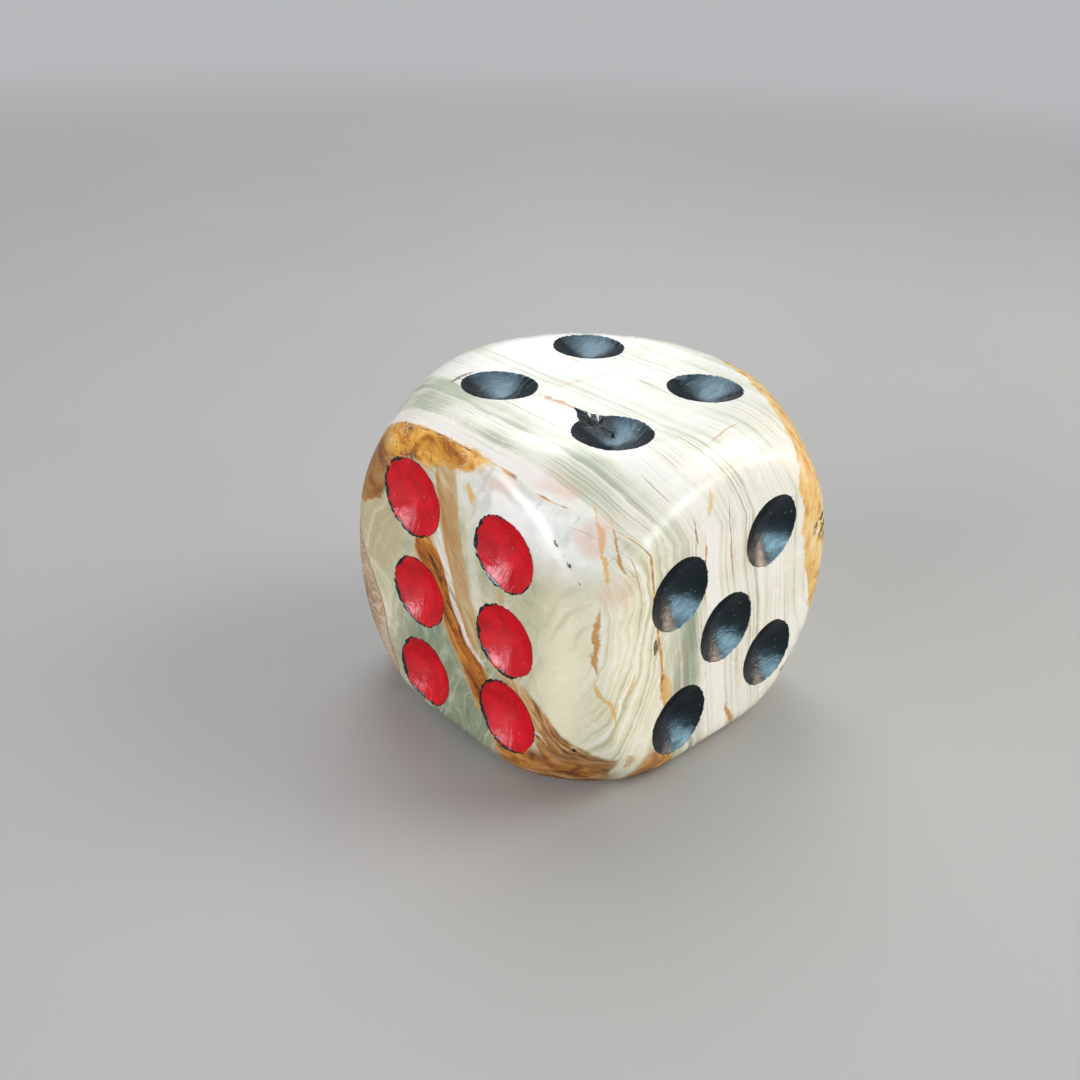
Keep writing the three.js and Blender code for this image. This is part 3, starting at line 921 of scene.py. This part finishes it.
def drill(block, cutter):
    cut = block.modifiers.new("cut", "BOOLEAN")
    cut.operation = "DIFFERENCE"
    cut.solver = "MANIFOLD"
    cut.object = cutter
    bpy.context.view_layer.objects.active = block
    with bpy.context.temp_override(object=block, active_object=block, selected_objects=[block]):
        bpy.ops.object.modifier_apply(modifier="cut")
    bpy.data.objects.remove(cutter)


def build_die():
    slots = {part["node"]: part["material_slot"] for part in frame["record"]["subparts"]}
    stone = stone_material()
    black = enamel_material(
        "black_enamel", (0.003, 0.0032, 0.004), (0.008, 0.0085, 0.01), (0.52, 0.82, 1.0), 0.9, 0.25)
    red = enamel_material(
        "red_enamel", (0.50, 0.003, 0.009), (0.72, 0.006, 0.017), (1.0, 0.94, 1.0), 0.55, 0.2)
    block = block_blank()
    for node in sorted(name for name, slot in slots.items() if slot == "black_enamel"):
        pip = Pip(node)
        rim = pip.rim()
        drill(block, dish_cutter(pip))
        under_red = node.replace("undercoat", "enamel")
        double = under_red != node

        def bare(radius, pip=pip):
            return np.minimum(pip.dish(radius), pip.block_height(radius))

        piece = coat("paint_" + node, pip, black_edge(pip, rim, double), bare, BLACK_THICKNESS)
        finish_piece(piece, black, "black_enamel", node)
        if double:
            def painted(radius, bare=bare):
                return bare(radius) + BLACK_THICKNESS
            piece = coat("paint_" + under_red, pip, red_edge(pip, rim), painted, RED_THICKNESS)
            finish_piece(piece, red, "red_enamel", under_red)
    finish_piece(block, stone, "onyx", "stone_body")


# ---------------------------------------------------------------- studio

CAMERA_AZIMUTH = 43.5
CAMERA_ELEVATION = 28.4
CAMERA_DISTANCE = 264.6 * MM
AIM_AZIMUTH = 46.2
AIM_ELEVATION = 28.7
CAMERA_ROLL = 2.3
LENS = 40.1
SENSOR_WIDTH = 36
LAMP_DISTANCE = 0.9
WORLD_LIGHT = 0.2
BACKDROP = 0.5
FLOOR_REACH = 12.0
FLOOR_GAP = 0.1 * MM
# Where the floor starts and ends its fade into the backdrop, in millimetres from the die.
FADE_START = 280
FADE_END = 1100

# Each lamp's name, azimuth, elevation, width and height in metres, strength, colour, and its fades at
# the left, right, foot and head as shares of its size.
LAMPS = [
    ("overhead", 222, 61, (0.86, 0.96), 10.2, (0.93, 0.97, 1.0), (0.6, 0.1, 0.3, 0.3)),
    ("back_strip", 224, 22, (0.26, 0.36), 0.6, (0.90, 0.96, 1.0), (0.3, 0.3, 0.3, 0.3)),
    ("edge_light", 143, 38, (0.7, 0.7), 9.1, (0.97, 0.985, 0.95), (0.3, 0.3, 0.3, 0.3)),
    ("right_card", 105, 9, (0.8, 0.32), 4.6, (0.90, 0.99, 1.0), (0.2, 0.1, 0.1, 0.4)),
    ("right_warm_card", 148, 7, (0.42, 0.26), 2.9, (1.0, 0.56, 0.36), (0.1, 0.2, 0.05, 0.4)),
    ("left_card", -8, 20, (0.84, 0.34), 9.0, (1.0, 0.95, 0.98), (0.3, 0.2, 0.08, 0.25)),
]


def toward(azimuth, elevation):
    """Unit vector from the die to a place. Azimuth 0 is in front of the six and 90 in front of the five."""
    turn, rise = math.radians(azimuth), math.radians(elevation)
    return Vector((math.sin(turn) * math.cos(rise), -math.cos(turn) * math.cos(rise), math.sin(rise)))


def add_camera():
    camera = bpy.data.objects.new("camera", bpy.data.cameras.new("camera"))
    camera.data.lens = LENS
    camera.data.sensor_width = SENSOR_WIDTH
    camera.data.clip_start = 10 * MM
    camera.location = toward(CAMERA_AZIMUTH, CAMERA_ELEVATION) * CAMERA_DISTANCE
    level = toward(AIM_AZIMUTH, AIM_ELEVATION).to_track_quat("Z", "Y")
    camera.rotation_mode = "QUATERNION"
    roll = Matrix.Rotation(math.radians(CAMERA_ROLL), 3, "Z").to_quaternion()
    camera.rotation_quaternion = level @ roll
    bpy.context.scene.collection.objects.link(camera)
    bpy.context.scene.camera = camera


def add_softbox(name, azimuth, elevation, size, strength, colour, fades):
    """A lamp with soft edges that shines at the die."""
    lamp = bpy.data.lights.new(name, "AREA")
    lamp.shape = "RECTANGLE"
    lamp.size, lamp.size_y = size
    lamp.energy = strength
    lamp.color = colour
    g = Graph(lamp)
    across, up, _ = g.split(g.add("NewGeometry", output="Parametric"))
    fade = g.all_of(g.step(across, 0, fades[0]), g.step(across, 1, 1 - fades[1]),
                    g.step(up, 0, fades[2]), g.step(up, 1, 1 - fades[3]))
    g.feed(g.nodes["Emission"].inputs["Strength"], fade)
    holder = bpy.data.objects.new(name, lamp)
    holder.location = toward(azimuth, elevation) * LAMP_DISTANCE
    holder.rotation_mode = "QUATERNION"
    holder.rotation_quaternion = toward(azimuth, elevation).to_track_quat("Z", "Y")
    bpy.context.scene.collection.objects.link(holder)


def add_floor():
    low = cad_low.z - FLOOR_GAP
    points = [(x * FLOOR_REACH, y * FLOOR_REACH, low) for x, y in ((-1, -1), (1, -1), (1, 1), (-1, 1))]
    floor = mesh_object("floor", points, [(0, 1, 2, 3)])
    g = Graph(bpy.data.materials.new("pale_floor"))
    point = g.vector("SCALE", g.add("TexCoord", output="Object"), scale=1 / MM)
    pale = g.mix(g.noise(point, 90, 2), (0.39, 0.39, 0.38), (0.42, 0.42, 0.41))
    # Glossy reflections see a darker floor, like the dark table that such a die would stand on.
    mirrored = g.math("MULTIPLY", g.add("LightPath", output="Is Glossy Ray"), 0.8)
    g.feed(g.surface.inputs["Base Color"], g.mix(mirrored, pale, (0.06, 0.055, 0.05)))
    g.surface.inputs["Roughness"].default_value = 0.6
    # To the camera the floor fades into the backdrop, which softens the horizon. To light it is whole.
    fade = g.step(g.vector("LENGTH", point), FADE_END, FADE_START)
    unseen = g.math("SUBTRACT", 1, g.add("LightPath", output="Is Camera Ray"))
    g.feed(g.surface.inputs["Alpha"], g.math("MAXIMUM", fade, unseen))
    floor.data.materials.append(g.owner)


def add_world():
    world = bpy.data.worlds.new("studio")
    g = Graph(world)
    backdrop = g.nodes["Background"]
    backdrop.inputs["Color"].default_value = (0.95, 0.97, 1.0, 1)
    # It looks pale to the camera and stays dim as a light.
    seen = g.add("LightPath", output="Is Camera Ray")
    g.feed(backdrop.inputs["Strength"], g.rescale(seen, 0, 1, WORLD_LIGHT, BACKDROP))
    bpy.context.scene.world = world
    bpy.context.scene.view_settings.view_transform = "Standard"


build_die()
add_floor()
add_world()
for lamp in LAMPS:
    add_softbox(*lamp)
add_camera()
